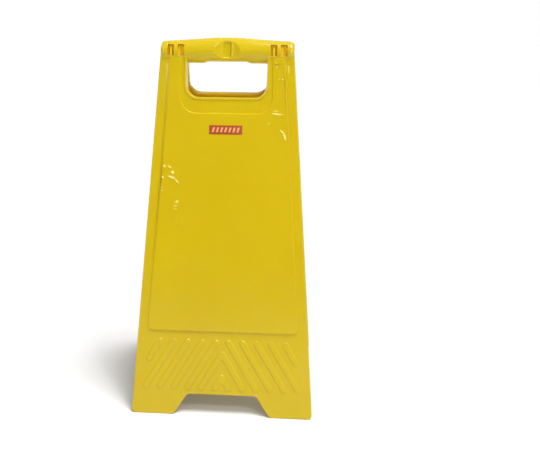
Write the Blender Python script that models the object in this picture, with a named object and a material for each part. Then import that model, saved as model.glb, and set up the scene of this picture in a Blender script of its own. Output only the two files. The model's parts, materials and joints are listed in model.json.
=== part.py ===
"""Folding wet floor sign: two identical moulded panels, hinged inside a round handle.

Metres, +Z up. The origin is on the floor under the handle, and the front panel faces -Y.
One panel is built flat in the hinge's own frame: X runs along the hinge, a height is
measured up the panel from the floor edge of its feet, and a depth is measured forwards
from the plane where the two folded panels meet. The sign is that moulding used twice,
leaned about the hinge line.
"""

import math

import bmesh
import bpy
from mathutils import Matrix, Vector

# Driving dimensions
PANEL_LENGTH = 0.630  # foot edge to the top of the handle
AXIS_HEIGHT = 0.606  # hinge line, up the panel
LEAN = math.radians(12)  # each panel, from the vertical
FOOT_HALF = 0.1533  # half width at the floor
NECK_HALF = 0.1072  # half width at the hinge line
BORDER_DEPTH = 0.014  # front of the border, ahead of the folding plane
PLATE_RAISE = 0.002  # the centre plate stands this far off the border
RECESS_DROP = 0.0014  # the recess round the hand opening lies this far below the plate
BACK_DEPTH = 0.0004  # rim of the moulding, so folded rims stay clear of each other
WALL = 0.0022
FOLD_GAP = 0.0003  # between the two handle halves when the sign stands open

# Feet and arch
FOOT_CORNER = 0.0065
ARCH_FOOT_HALF = 0.0814
ARCH_TOP_HALF = 0.058
ARCH_TOP = 0.0365
ARCH_TOP_RADIUS = 0.009
ARCH_FOOT_RADIUS = 0.005
SOLE = 0.0054  # top of the foot's floor, inside
SOLE_CORNER = 0.002  # smallest corner radius inside the feet
POCKET_TOP = 0.586  # top of the hollow in the moulding's back
BODY_TOP = 0.602  # the flat panel ends here, inside the handle

# Centre plate
PLATE_FOOT_HALF = 0.126
PLATE_TOP_HALF = 0.0927
PLATE_BOTTOM = 0.146
PLATE_TOP = 0.600
PLATE_CORNER = 0.008
PLATE_ROOT = 0.010  # depth at which the plate's own solid starts, inside the border's

# Hand opening, the bead round it and the recess round that
HAND_HALF = 0.0655
HAND_BOTTOM = 0.5328
HAND_CORNER = 0.0205
HAND_DRAFT = 0.0015  # the opening is this much smaller all round at the back
BEAD = 0.0033  # rim width
BEAD_RAISE = 0.0012
BEAD_ROOT = 0.002
RECESS_HALF = 0.0742
RECESS_BOTTOM = 0.5076
RECESS_CORNER = 0.025

# Raised bars and chevrons under the plate
BAR_WIDTH = 0.0095
BAR_RAISE = 0.0010
BAR_SLANT = math.radians(31.2)  # from the panel's centre line
BAR_TOP = 0.1314
BAR_BOTTOM = 0.0448
BAR_PITCH = 0.0237
BAR_FIRST = 0.0105
BAR_SHORT_BOTTOM = 0.092
LONG_BARS = 4  # on each side, followed by one short bar
CHEVRON_TOPS = (0.1116, 0.0713)
CHEVRON_BLUNT = 0.0052  # radius of a chevron's point
CHEVRON_NOTCH = 0.001
CHEVRON_END = 0.0035

# Handle: a half shell whose top rises to the middle
HANDLE_HALF = 0.1081
HANDLE_DEPTH = 0.0178
HANDLE_WALL = 0.0024
HANDLE_END_RADIUS = 0.0065
HANDLE_END_ANGLES = (0, 25, 50, 70, 90)  # degrees round each end
END_THINNING = 0.6  # share of the rise lost at a rounded end that the depth loses too
RING_STEPS = 16
HANDLE_TOP = PANEL_LENGTH - AXIS_HEIGHT
HANDLE_STATIONS = (  # half width, rise above the hinge line, drop below it
    (0.0160, HANDLE_TOP, 0.0147),
    (0.0315, HANDLE_TOP - 0.0012, 0.0147),
    (0.0375, HANDLE_TOP - 0.0017, 0.0172),
    (0.0720, HANDLE_TOP - 0.0043, 0.0172),
    (0.0980, HANDLE_TOP - 0.0058, 0.0172),
)

# Thumb scoop in the handle's middle
SCOOP_RADIUS = 0.0426
SCOOP_FLOOR = 0.0118  # depth of the scoop's deepest line
SCOOP_BACKING = 0.0042  # material behind it
SCOOP_REACH = 0.030  # the scoop's and groove's tools run this far up and down
SCOOP_SIDES = 72
GROOVE_FLOOR_HALF = 0.0045
GROOVE_DEEP = 0.0018
GROOVE_FLARE = 4 / 3  # sideways run of the groove's walls for each step forwards

# Hinge knuckles behind the windows
WINDOW_WIDE = 0.0102
WINDOW_LOW = 0.5994
WINDOW_HIGH = 0.6173
WINDOW_ROOT = 0.0105  # the windows are cut from this depth forwards
KNUCKLES = (  # centre along the hinge, and whether this moulding has the tongue there
    (-0.0914, True),
    (-0.0750, False),
    (0.0750, True),
    (0.0914, False),
)
KNUCKLE_RADIUS = 0.006
TONGUE_HALF = 0.0016
PRONG_INNER = 0.0021
PRONG_OUTER = 0.0053
WEB_CORNERS = (  # depth and rise above the hinge line, from the shell's top to its underside
    (0.0045, 0.0172),
    (0.0075, 0.0156),
    (0.0075, 0.0100),
    (0.0125, 0.0074),
    (0.0125, -0.0125),
    (0.0030, -0.0166),
)
BACKING_HALF = 0.0060  # a wall behind each window, wider than the window
BACKING_DEPTHS = (0.0070, 0.0100)
BACKING_LOW = -0.0130
BACKING_HIGH = 0.0135
PIN_RADIUS = 0.0018
PIN_HALF = 0.0050
PIN_CHAMFER = 0.0004
PIN_SIDES = 16
PIN_GAP = 0.0003
BORE_INNER = 0.0682
BORE_OUTER = 0.100

# Label
LABEL_WIDE = 0.054
LABEL_TALL = 0.0146
LABEL_HEIGHT = 0.481
LABEL_THICK = 0.0003
LABEL_GAP = 0.0003
LABEL_CORNER = 0.001

ARC_STEP = math.radians(15)
WELD = 0.00001
PLATE_DEPTH = BORDER_DEPTH + PLATE_RAISE
RECESS_DEPTH = PLATE_DEPTH - RECESS_DROP
AXIS_Z = AXIS_HEIGHT * math.cos(LEAN) - BORDER_DEPTH * math.sin(LEAN)
BEHIND = -0.012  # a depth behind every part of the moulding
AHEAD = 0.030  # a depth in front of every part of it
ABOVE = 0.640  # a height above the handle
BELOW = -0.700  # a rise below the feet
BESIDE = 0.200  # a half width beyond the feet
STEP = 0.001  # tools reach past each other by this much, so that they share no face


def half_width(height):
    """The panel's half width at a height up it."""
    return FOOT_HALF + (NECK_HALF - FOOT_HALF) * height / AXIS_HEIGHT


def arc(centre, start, end):
    """Points on a circle from start to end, going the short way round."""
    first = start - centre
    last = end - centre
    turn = math.atan2(first.x * last.y - first.y * last.x, first.dot(last))
    steps = max(2, math.ceil(abs(turn) / ARC_STEP))
    return [centre + Matrix.Rotation(turn * i / steps, 2) @ first for i in range(steps + 1)]


def rounded(corners):
    """A closed outline from corners given as (x, height, corner radius)."""
    points = []
    for i, (x, height, radius) in enumerate(corners):
        here = Vector((x, height))
        if not radius:
            points.append(here)
            continue
        before = (Vector(corners[i - 1][:2]) - here).normalized()
        after = (Vector(corners[(i + 1) % len(corners)][:2]) - here).normalized()
        half = before.angle(after) / 2
        reach = radius / math.tan(half)
        centre = here + (before + after).normalized() * radius / math.sin(half)
        points += arc(centre, here + before * reach, here + after * reach)
    return points


def both_sides(right_half):
    """Adds the mirror image of corners listed for +X, going up."""
    return list(right_half) + [(-x, height, radius) for x, height, radius in reversed(right_half)]


def new_object(name, bm):
    bmesh.ops.recalc_face_normals(bm, faces=bm.faces)
    mesh = bpy.data.meshes.new(name)
    bm.to_mesh(mesh)
    bm.free()
    obj = bpy.data.objects.new(name, mesh)
    bpy.context.scene.collection.objects.link(obj)
    return obj


def loft(name, rings):
    """A closed solid through rings of equally many points."""
    bm = bmesh.new()
    loops = [[bm.verts.new(point) for point in ring] for ring in rings]
    for lower, upper in zip(loops, loops[1:]):
        for i, vert in enumerate(lower):
            bm.faces.new((lower[i - 1], vert, upper[i], upper[i - 1]))
    bm.faces.new(loops[0])
    bm.faces.new(loops[-1])
    return new_object(name, bm)


def prism(name, outline, back, front):
    """A front-view outline, extruded between two depths."""
    return loft(name, [[(p.x, -depth, p.y - AXIS_HEIGHT) for p in outline] for depth in (back, front)])


def side_prism(name, profile, low_x, high_x):
    """A side-view profile of (depth, rise above the hinge line), extruded along the hinge."""
    return loft(name, [[(x, -depth, rise) for depth, rise in profile] for x in (low_x, high_x)])


def boolean(target, tool, operation):
    """Adds a Boolean and hides the tool, which stays as a wire helper until the panel is made."""
    modifier = target.modifiers.new(operation.lower() + "_" + tool.name, "BOOLEAN")
    modifier.object = tool
    modifier.operation = operation
    modifier.solver = "EXACT"
    tool.hide_render = True
    tool.display_type = "WIRE"
    return target


def arch_half(height, inset):
    """The arch's half width at a height, a wall's thickness outside it."""
    slope = (ARCH_FOOT_HALF - ARCH_TOP_HALF) / ARCH_TOP
    return ARCH_TOP_HALF + slope * (ARCH_TOP - height) + inset * math.hypot(1, slope)


def panel_outline(inset, sole, top):
    """The panel's tapered outline with its arch, drawn in by a wall's thickness."""
    arch_top = ARCH_TOP + inset
    return rounded(
        both_sides(
            (
                (arch_half(arch_top, inset), arch_top, max(ARCH_TOP_RADIUS - inset, SOLE_CORNER)),
                (arch_half(sole, inset), sole, ARCH_FOOT_RADIUS),
                (half_width(sole) - inset, sole, FOOT_CORNER - inset),
                (half_width(top) - inset, top, 0),
            )
        )
    )


def opening_outline(grow, top):
    """The hand opening, grown outwards; its upper end runs on to a given height."""
    low = HAND_BOTTOM - grow
    half = HAND_HALF + grow
    return rounded(both_sides(((half, low, HAND_CORNER + grow), (half, top, 0))))


def hand_tool(front):
    """The drafted cutter for the hand opening, true to size at the bead's front."""
    rings = []
    for depth in (BEHIND, AHEAD):
        grow = HAND_DRAFT * (depth - front) / (front - BACK_DEPTH)
        rings.append([(p.x, -depth, p.y - AXIS_HEIGHT) for p in opening_outline(grow, ABOVE)])
    return loft("hand", rings)


def recess_outline():
    return rounded(
        both_sides(((RECESS_HALF, RECESS_BOTTOM, RECESS_CORNER), (RECESS_HALF, PLATE_TOP, 0)))
    )


def plate_outline(inset, top):
    taper = (PLATE_FOOT_HALF - PLATE_TOP_HALF) / (PLATE_TOP - PLATE_BOTTOM)
    return rounded(
        both_sides(
            (
                (PLATE_FOOT_HALF - inset, PLATE_BOTTOM + inset, PLATE_CORNER - inset),
                (PLATE_TOP_HALF + taper * (PLATE_TOP - top) - inset, top, 0),
            )
        )
    )


def bar_outline(top_x, bottom):
    """One slanted bar with round ends."""
    radius = BAR_WIDTH / 2
    high = Vector((top_x, BAR_TOP - radius))
    fall = high.y - bottom - radius
    low = high + Vector((fall * math.tan(BAR_SLANT), -fall))
    along = (low - high).normalized() * radius
    across = Vector((-along.y, along.x))
    ends = []
    for centre, out in ((high, -along), (low, along)):
        side = across if centre is high else -across
        ends += arc(centre, centre + side, centre + out) + arc(centre, centre + out, centre - side)[1:]
    return ends


def chevron_outline(top):
    """An inverted V whose arms end level with the bars."""
    peak = top + CHEVRON_BLUNT * (1 / math.sin(BAR_SLANT) - 1)
    thick = BAR_WIDTH / math.sin(BAR_SLANT)
    slope = math.tan(BAR_SLANT)
    notch = peak - thick
    outer = (peak - BAR_BOTTOM) * slope
    inner = (notch - BAR_BOTTOM) * slope
    right = ((inner, BAR_BOTTOM, CHEVRON_END), (outer, BAR_BOTTOM, CHEVRON_END))
    left = tuple((-x, height, radius) for x, height, radius in reversed(right))
    return rounded((*right, (0, peak, CHEVRON_BLUNT), *left, (0, notch, CHEVRON_NOTCH)))


def bars():
    """Every raised bar and chevron as one tool: separate islands in one mesh."""
    outlines = [bar_outline(BAR_FIRST + BAR_PITCH * i, BAR_BOTTOM) for i in range(LONG_BARS)]
    outlines.append(bar_outline(BAR_FIRST + BAR_PITCH * LONG_BARS, BAR_SHORT_BOTTOM))
    outlines += [[Vector((-p.x, p.y)) for p in outline] for outline in outlines]
    outlines += [chevron_outline(top) for top in CHEVRON_TOPS]
    return join([prism("bar", o, BORDER_DEPTH - STEP, BORDER_DEPTH + BAR_RAISE) for o in outlines])


def join(objects):
    """One mesh from objects that don't touch each other."""
    bm = bmesh.new()
    for obj in objects:
        bm.from_mesh(obj.data)
        bpy.data.objects.remove(obj)
    return new_object("group", bm)


def handle_sections(grow):
    """(x, rise, drop, depth) of the handle's sections from end to end; grow is negative inside."""
    half = [(x, rise + grow, drop + grow, HANDLE_DEPTH + grow) for x, rise, drop in HANDLE_STATIONS]
    before, last = half[-2:]
    slope = (last[1] - before[1]) / (last[0] - before[0])
    radius = HANDLE_END_RADIUS + grow
    for angle in map(math.radians, HANDLE_END_ANGLES):
        x = HANDLE_HALF - HANDLE_END_RADIUS + radius * math.sin(angle)
        lost = radius * (1 - math.cos(angle))
        rise = last[1] + slope * (x - last[0]) - lost
        half.append((x, rise, last[2], last[3] - lost * END_THINNING))
    return [(-x, *rest) for x, *rest in reversed(half)] + half


def handle_ring(x, rise, drop, depth, solid):
    """The half-round section at x. Its upper back edge follows the lean, where the halves meet."""
    back = BACK_DEPTH if solid else BEHIND
    points = []
    top_angle = math.atan2(depth, rise * math.tan(LEAN) + FOLD_GAP / 2)
    for i in range(RING_STEPS + 1):
        angle = -math.pi / 2 + (math.pi / 2 + top_angle) * i / RING_STEPS
        reach = rise if angle > 0 else drop
        points.append((max(depth * math.cos(angle), back), reach * math.sin(angle)))
    if solid:
        points.append((FOLD_GAP / 2 + back, 0.0))
    else:
        points += [(back, rise), (back, -drop)]
    return [(x, -away, up) for away, up in points]


def handle(name, grow, solid):
    return loft(name, [handle_ring(*section, solid) for section in handle_sections(grow)])


def scoop(name, radius):
    """An upright cylinder that scoops the handle's middle."""
    centre = SCOOP_FLOOR + SCOOP_RADIUS
    turns = [math.tau * i / SCOOP_SIDES for i in range(SCOOP_SIDES)]
    rings = []
    for rise in (-SCOOP_REACH, SCOOP_REACH):
        rings.append([(radius * math.sin(a), radius * math.cos(a) - centre, rise) for a in turns])
    return loft(name, rings)


def groove():
    """A shallow flared channel down the scoop."""
    floor = SCOOP_FLOOR - GROOVE_DEEP
    mouth = GROOVE_FLOOR_HALF + GROOVE_FLARE * (AHEAD - floor)
    corners = ((-GROOVE_FLOOR_HALF, floor), (GROOVE_FLOOR_HALF, floor), (mouth, AHEAD), (-mouth, AHEAD))
    rings = []
    for rise in (-SCOOP_REACH, SCOOP_REACH):
        rings.append([(x, -depth, rise) for x, depth in corners])
    return loft("groove", rings)


def web_profile():
    """A knuckle web: its lug shows in the window, its fin meets the shell and its nose circles the pin."""
    nose = [
        (-KNUCKLE_RADIUS * math.sin(a), -KNUCKLE_RADIUS * math.cos(a))
        for a in (math.pi * i / 12 for i in range(13))
    ]
    return nose + list(WEB_CORNERS)


def knuckles():
    """All tongues and prongs of one moulding."""
    webs = []
    for centre, has_tongue in KNUCKLES:
        if has_tongue:
            spans = [(-TONGUE_HALF, TONGUE_HALF)]
        else:
            spans = [(-PRONG_OUTER, -PRONG_INNER), (PRONG_INNER, PRONG_OUTER)]
        webs += [side_prism("web", web_profile(), centre + low, centre + high) for low, high in spans]
    return join(webs)


def backings():
    """The walls that close the shell behind the windows, clear of the noses' circle."""
    near, far = BACKING_DEPTHS
    corners = ((near, BACKING_LOW), (near, BACKING_HIGH), (far, BACKING_HIGH), (far, BACKING_LOW))
    spans = [(centre - BACKING_HALF, centre + BACKING_HALF) for centre, _ in KNUCKLES]
    return join([side_prism("backing", corners, low, high) for low, high in spans])


def bores():
    """Clearance for the pins along the hinge line, at both ends of the hinge."""
    radius = PIN_RADIUS + PIN_GAP
    turns = [math.tau * (i + 0.5) / PIN_SIDES for i in range(PIN_SIDES)]
    circle = [(radius * math.cos(a), radius * math.sin(a)) for a in turns]
    spans = ((-BORE_OUTER, -BORE_INNER), (BORE_INNER, BORE_OUTER))
    return join([side_prism("bore", circle, low, high) for low, high in spans])


def windows():
    tools = []
    for centre, _ in KNUCKLES:
        low = centre - WINDOW_WIDE / 2
        high = centre + WINDOW_WIDE / 2
        corners = ((low, WINDOW_LOW), (high, WINDOW_LOW), (high, WINDOW_HIGH), (low, WINDOW_HIGH))
        tools.append(prism("window", [Vector(corner) for corner in corners], WINDOW_ROOT, AHEAD))
    return join(tools)


def floor_cut():
    """Everything below the floor that the leaning feet stand on."""
    slope = math.tan(LEAN)
    low = -AXIS_HEIGHT + BORDER_DEPTH * slope
    profile = ((BEHIND, low - BEHIND * slope), (AHEAD, low - AHEAD * slope), (AHEAD, BELOW), (BEHIND, BELOW))
    return side_prism("floor_cut", profile, -BESIDE, BESIDE)


def panel_solid():
    """The panel with its plate, recess, bars, bead and hand opening, and the handle on top."""
    bead_front = RECESS_DEPTH + BEAD_RAISE
    panel = prism("moulding", panel_outline(0, 0, BODY_TOP), BACK_DEPTH, BORDER_DEPTH)
    boolean(panel, prism("plate", plate_outline(0, PLATE_TOP), PLATE_ROOT, PLATE_DEPTH), "UNION")
    boolean(panel, prism("recess", recess_outline(), RECESS_DEPTH, AHEAD), "DIFFERENCE")
    boolean(panel, bars(), "UNION")
    boolean(panel, prism("bead", opening_outline(BEAD, PLATE_TOP), BEAD_ROOT, bead_front), "UNION")
    boolean(panel, hand_tool(bead_front), "DIFFERENCE")
    return boolean(panel, handle("handle", 0, True), "UNION")


def hollow_back(panel):
    """Leaves a thin wall of even thickness behind the faces."""
    pocket = prism("pocket", panel_outline(WALL, SOLE, POCKET_TOP), BEHIND, BORDER_DEPTH - WALL)
    sleeve = prism("sleeve", opening_outline(BEAD, ABOVE), BEHIND - STEP, AHEAD)
    boolean(panel, boolean(pocket, sleeve, "DIFFERENCE"), "DIFFERENCE")
    plate_back = prism("plate_back", plate_outline(WALL, POCKET_TOP), BEHIND - STEP, PLATE_DEPTH - WALL)
    recess_back = prism("recess_back", recess_outline(), BEHIND - 2 * STEP, AHEAD)
    boolean(panel, boolean(plate_back, recess_back, "DIFFERENCE"), "DIFFERENCE")
    hollow = handle("handle_hollow", -HANDLE_WALL, False)
    scoop_back = scoop("scoop_back", SCOOP_RADIUS + SCOOP_BACKING)
    boolean(panel, boolean(hollow, scoop_back, "DIFFERENCE"), "DIFFERENCE")


def panel_mesh():
    """The whole moulding, by joining and cutting simple solids."""
    panel = panel_solid()
    hollow_back(panel)
    boolean(panel, scoop("scoop", SCOOP_RADIUS), "DIFFERENCE")
    boolean(panel, groove(), "DIFFERENCE")
    boolean(panel, windows(), "DIFFERENCE")
    boolean(panel, backings(), "UNION")
    boolean(panel, knuckles(), "UNION")
    boolean(panel, bores(), "DIFFERENCE")
    boolean(panel, floor_cut(), "DIFFERENCE")
    panel.modifiers.new("weld", "WELD").merge_threshold = WELD

    bpy.context.view_layer.update()
    graph = bpy.context.evaluated_depsgraph_get()
    mesh = bpy.data.meshes.new_from_object(panel.evaluated_get(graph))
    clear_scene()
    mesh.name = "panel"
    return mesh


def clear_scene():
    for obj in list(bpy.data.objects):
        bpy.data.objects.remove(obj)


def material(name, colour, roughness, metallic=0.0):
    made = bpy.data.materials.new(name)
    made.use_nodes = True
    shader = made.node_tree.nodes["Principled BSDF"]
    shader.inputs["Base Color"].default_value = (*colour, 1)
    shader.inputs["Roughness"].default_value = roughness
    shader.inputs["Metallic"].default_value = metallic
    return made


def place(name, mesh, finish, turned):
    """A copy of a mesh built in the hinge's frame, leaned and, for the rear, turned round."""
    obj = bpy.data.objects.new(name, mesh)
    bpy.context.scene.collection.objects.link(obj)
    obj.location = (0, 0, AXIS_Z)
    obj.rotation_euler = (-LEAN, 0, math.pi if turned else 0)
    if not mesh.materials:
        mesh.materials.append(finish)
    return obj


def label_mesh():
    half = LABEL_WIDE / 2
    low = LABEL_HEIGHT - LABEL_TALL / 2
    high = LABEL_HEIGHT + LABEL_TALL / 2
    outline = rounded(both_sides(((half, low, LABEL_CORNER), (half, high, LABEL_CORNER))))
    back = PLATE_DEPTH + LABEL_GAP
    maker = prism("label", outline, back, back + LABEL_THICK)
    mesh = maker.data
    bpy.data.objects.remove(maker)
    return mesh


def pin(name, centre, finish):
    """A short round pin with chamfered ends, lying along the hinge line."""
    turns = [math.tau * i / PIN_SIDES for i in range(PIN_SIDES)]
    end_radius = PIN_RADIUS - PIN_CHAMFER
    half = ((PIN_HALF - PIN_CHAMFER, PIN_RADIUS), (PIN_HALF, end_radius))
    rings = []
    for x, radius in [(-x, radius) for x, radius in reversed(half)] + list(half):
        rings.append([(x, radius * math.cos(a), radius * math.sin(a)) for a in turns])
    obj = loft(name, rings)
    obj.location = (centre, 0, AXIS_Z)
    obj.data.materials.append(finish)
    obj.data.shade_smooth()
    obj.data.set_sharp_from_angle(angle=math.radians(35))
    return obj


def main():
    clear_scene()
    yellow = material("yellow_plastic", (0.66, 0.46, 0.015), 0.3)
    red = material("red_label", (0.30, 0.015, 0.005), 0.35)
    steel = material("pin_steel", (0.55, 0.55, 0.56), 0.35, 1.0)
    panel = panel_mesh()
    panel.shade_smooth()
    panel.set_sharp_from_angle(angle=math.radians(25))
    label = label_mesh()
    for side, turned in (("front", False), ("rear", True)):
        place(side + "_panel", panel, yellow, turned)
        place(side + "_label", label, red, turned)
    for number, (centre, _) in enumerate(KNUCKLES, start=1):
        pin(f"hinge_pin_{number}", centre, steel)


main()
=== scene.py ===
"""Looks of a folding wet floor sign: two glossy yellow mouldings, their labels and their hinge pins.

Both panels are one moulding, so it is made once, in the hinge's own frame, and placed twice.
Sizes in the moulding's code are millimetres: x runs along the hinge, a height is measured up
the panel from its feet, and a depth is measured forwards from the plane where the folded
panels meet. The moulding is a front skin and a back skin over one flat triangulation, whose
lines follow every ledge, bead and bar. Walls along its edges close it.
"""

import json
import math

import bmesh
import bpy
import numpy as np
from mathutils import Matrix, Vector, geometry


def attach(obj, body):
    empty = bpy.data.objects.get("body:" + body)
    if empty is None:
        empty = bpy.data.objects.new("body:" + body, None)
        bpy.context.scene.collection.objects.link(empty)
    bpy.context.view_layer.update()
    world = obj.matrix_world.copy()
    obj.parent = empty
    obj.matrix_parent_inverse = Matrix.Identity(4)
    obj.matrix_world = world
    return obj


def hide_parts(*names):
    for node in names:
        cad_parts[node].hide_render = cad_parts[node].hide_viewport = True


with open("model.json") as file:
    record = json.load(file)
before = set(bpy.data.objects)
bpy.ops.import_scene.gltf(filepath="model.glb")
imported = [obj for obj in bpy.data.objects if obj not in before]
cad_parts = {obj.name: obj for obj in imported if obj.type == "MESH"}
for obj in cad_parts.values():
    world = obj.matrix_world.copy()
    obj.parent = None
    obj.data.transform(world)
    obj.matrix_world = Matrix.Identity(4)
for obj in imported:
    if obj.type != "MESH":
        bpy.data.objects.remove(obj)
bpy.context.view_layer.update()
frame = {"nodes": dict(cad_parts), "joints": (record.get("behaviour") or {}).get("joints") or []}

MM = 0.001
HAIR = 0.01  # a length too small to see
HINGE = frame["joints"][0]
HINGE_POINT = Vector(HINGE["pos_m"])
LEAN = math.radians(HINGE["range_deg"][1]) / 2

# Panel outline
AXIS_HEIGHT = 606.0
FOOT_HALF = 153.3
NECK_HALF = 107.2
HANDLE_HALF = 108.1
STRAIGHT_FROM = 603.2  # the sides run straight up above this height
EDGE_ROUND = 2.0
FOOT_CORNER = 7.8
BORDER_DEPTH = 14.0
RIM_DEPTH = 0.4
WALL = 2.2
ARCH_FOOT_HALF = 81.4
ARCH_FOOT_CORNER = 6.0
ARCH_TOP_HALF = 58.0
ARCH_TOP = 36.5
ARCH_TOP_CORNER = 9.0
SOLE = 5.4
POCKET_TOP = 586.0
POCKET_FADE = 1.5  # the plate's hollow starts within this distance of the pocket's wall
BODY_SINKS = 597.0  # above this height the flat panel sinks into the handle
BODY_TOP = 604.0
LINES_END = 599.0  # lines up the panel end here, inside the handle
PLATE_END = 600.0  # the plate and its recess end here, inside the handle
ABOVE = 640.0  # a height above everything

# Centre plate, recess, hand opening and its bead
PLATE_BOTTOM = 146.0
PLATE_BOTTOM_HALF = 126.0
PLATE_TOP_HALF = 92.7
PLATE_CORNER = 8.0
PLATE_RAISE = 2.0
RECESS_BOTTOM = 507.6
RECESS_HALF = 74.2
RECESS_CORNER = 25.0
RECESS_DROP = 1.4
HAND_HALF = 65.5
HAND_BOTTOM = 532.8
HAND_CORNER = 20.5
HAND_DRAFT = 1.5  # the opening is this much smaller all round at the back
DRAFT_FADE = 8.0  # the draft dies out over this height under the handle
BEAD = 3.3
BEAD_RAISE = 1.2
BEAD_ROUND = 1.3

# Slanted bars and chevrons
BAR_WIDTH = 9.5
BAR_RAISE = 1.0
BAR_SLANT = math.radians(31.2)
BAR_TOP = 131.4
BAR_BOTTOM = 44.8
BAR_PITCH = 23.7
BAR_FIRST = 10.5
BAR_SHORT_BOTTOM = 92.0
BARS_A_SIDE = 5
CHEVRON_TOPS = (111.6, 71.3)
CHEVRON_BLUNT = 5.2  # corner radii at a chevron's peak, notch and ends
CHEVRON_NOTCH = 1.5
CHEVRON_END = 3.4

# Handle
HANDLE_DEPTH = 17.8
HANDLE_WALL = 2.4
HANDLE_END_ROUND = 6.5
HANDLE_END_SHALLOWER = 0.6  # depth lost at the rounded ends, as a share of the rise lost
HANDLE_ALONG = (0.0, 16.0, 31.5, 37.5, 72.0, 98.0, 108.1)
HANDLE_RISE = (24.0, 24.0, 22.8, 22.3, 19.7, 18.2, 17.5)
HANDLE_DROP = (14.7, 14.7, 14.7, 17.2, 17.2, 17.2, 17.2)
HANDLE_SOFTENING = (-2, -1, 0, 1, 2)  # shifts averaged to soften the changes along the handle
HANDLE_CORNER = 3.2  # fillet between the handle's underside and the opening's sides
HANDLE_BLEND = 0.8  # fillet between the handle and the panel
FOLD_GAP = 0.3
SCOOP_RADIUS = 42.6
SCOOP_CENTRE = 55.0  # depth of the scoop's axis, in front of the handle
SCOOP_BACKING = 4.2
SCOOP_BLEND = 0.7
GROOVE_FLOOR_HALF = 4.4
GROOVE_DEEP = 1.9
GROOVE_WALL = 2.6  # how far each flared side runs
GROOVE_END = 2.6  # the groove runs out this far inside the scoop's edge
RIB_RISE = 0.5  # a low rib along each side of the groove
RIB_AT = 7.0
RIB_HALF = 1.1
RIB_REACH = 2.4

# Moulded ledges
LEDGES = {  # rise, foot radius, top radius, steepness
    "plate": (PLATE_RAISE, 0.5, 1.1, math.radians(78)),
    "recess": (RECESS_DROP, 0.6, 0.7, math.radians(48)),
    "bar": (BAR_RAISE, 0.8, 0.9, math.radians(42)),
    "bead": (BEAD_RAISE, 0.35, 0.9, math.radians(72)),
    "pocket": (BORDER_DEPTH - WALL - RIM_DEPTH, 0.4, 1.2, math.radians(87)),
    "plate_back": (PLATE_RAISE, 0.5, 0.8, math.radians(70)),
    "end_wall": (HANDLE_DEPTH, 0.3, 1.0, math.radians(86)),
}

# Windows and the hinge knuckles behind them
KNUCKLES = ((-91.4, True), (-75.0, False), (75.0, True), (91.4, False))  # centre, tongue or fork
WINDOW_HALF = 5.1
WINDOW_LOW = 599.4
WINDOW_HIGH = 617.3
WINDOW_CORNER = 0.6
WINDOW_ROUND = 0.5
KNUCKLE_RADIUS = 6.0
TONGUE = (-1.6, 1.6)
PRONGS = ((-5.3, -2.1), (2.1, 5.3))
BORE = 2.1
WEB = (  # a knuckle's outline: depth, rise above the hinge line, corner radius
    (0.5, -7, 0),
    (3, -16.6, 0.5),
    (12.5, -12.5, 0.8),
    (12.5, 7.4, 1.6),
    (7.5, 10, 0.8),
    (7.5, 15.6, 0.4),
    (4.5, 17.2, 0.4),
    (0.4, 6, 1.5),
    (-KNUCKLE_RADIUS, 6, KNUCKLE_RADIUS - 2 * HAIR),
    (-KNUCKLE_RADIUS, -6, KNUCKLE_RADIUS - 2 * HAIR),
)
BACKING_HALF = 6.0  # a wall behind each window, wider than the window
BACKING = ((7, -13, 0), (10, -13, 0), (10, 13.5, 0), (7, 13.5, 0))
KNUCKLE_SOFTEN = 0.3

# Label and the dashes printed on it
LABEL_HALF = 27.0
LABEL_LOW = 473.7
LABEL_HIGH = 488.3
LABEL_THICK = 0.3
LABEL_CORNER = 1.0
LABEL_SOFTEN = 0.08
INK_THICK = 0.04
INK_SUNK = 0.02  # the ink's underside lies this far inside the label
INK_SOFTEN = 0.01
DASHES = 7
DASH_PITCH = 6.7
DASH_WIDTH = 3.4
DASH_LEAN = 2.4
DASH_MARGIN = 3.3
DASH_CORNER = 0.3

# Small creases in the faces, where the moulding was bent and knocked
CREASES = (  # x, height, half length, half width, tilt from level in degrees, rise
    (-100, 420, 2.6, 1.6, -30, 0.85),
    (-91.5, 419, 3.4, 1.5, -35, 0.8),
    (-87, 410, 3, 2.5, -40, 1.3),
    (-103.5, 402, 3, 1.6, -42, 0.9),
    (-88, 402, 6.5, 2, -22, 1.1),
    (-79.5, 396, 6, 1.4, -48, 0.7),
    (-104.5, 385, 1.6, 1.2, -30, 0.6),
    (-104, 380, 1.6, 1.1, -30, 0.5),
    (-78.5, 362, 3.4, 1.8, 40, 1),
    (-81, 355, 3.2, 1.1, -10, 0.5),
    (-81, 350, 3.2, 1.1, -20, 0.4),
    (-79, 328, 2, 1, 30, 0.3),
    (80, 511.5, 5, 1.1, -6, 0.5),
    (82.3, 507, 9, 1.6, -6, 0.9),
    (70, 492, 3, 1.1, 50, 0.4),
    (90.5, 479, 4.5, 1.4, -42, 0.8),
    (95, 471, 6, 1.7, -72, 1),
    (84, 562.5, 1.8, 1, 0, 0.5),
    (91, 562.6, 3, 1.1, -2, 0.6),
    (98.5, 580, 9, 1.3, -86, 0.4),
    (79.5, 585, 6, 1.2, -86, 0.35),
)
CREASE_REACH = 2.2  # a crease dies out at this many of its half sizes
CREASE_STEP = 0.5
# painted highlight along the creases' upper sides, standing in for glints on them
GLINT_SHIFT = 0.3  # the painted highlight lies this far across a crease, towards its upper side
GLINT_LEVEL = 1.6
GLINT_FALL = 1.5

# Scuffs along the panel's edge, the plate's edge and the handle's top: strength and reach
EDGE_WEAR = (0.35, 1.2)
PLATE_WEAR = (0.2, 0.8)
TOP_WEAR = (0.6, 2.5)
BACK_WEAR = 0.3  # the back skin's share of the front's scuffs

# Painted glow: a lighter, warmer colour on the shaded walls of the windows, the hand opening and the
# knuckles, standing in for light soaking through thin walls
GLOW_REACH = 3.0  # how far round a window it shows on the back skin
HAND_GLOW = 0.9

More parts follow.
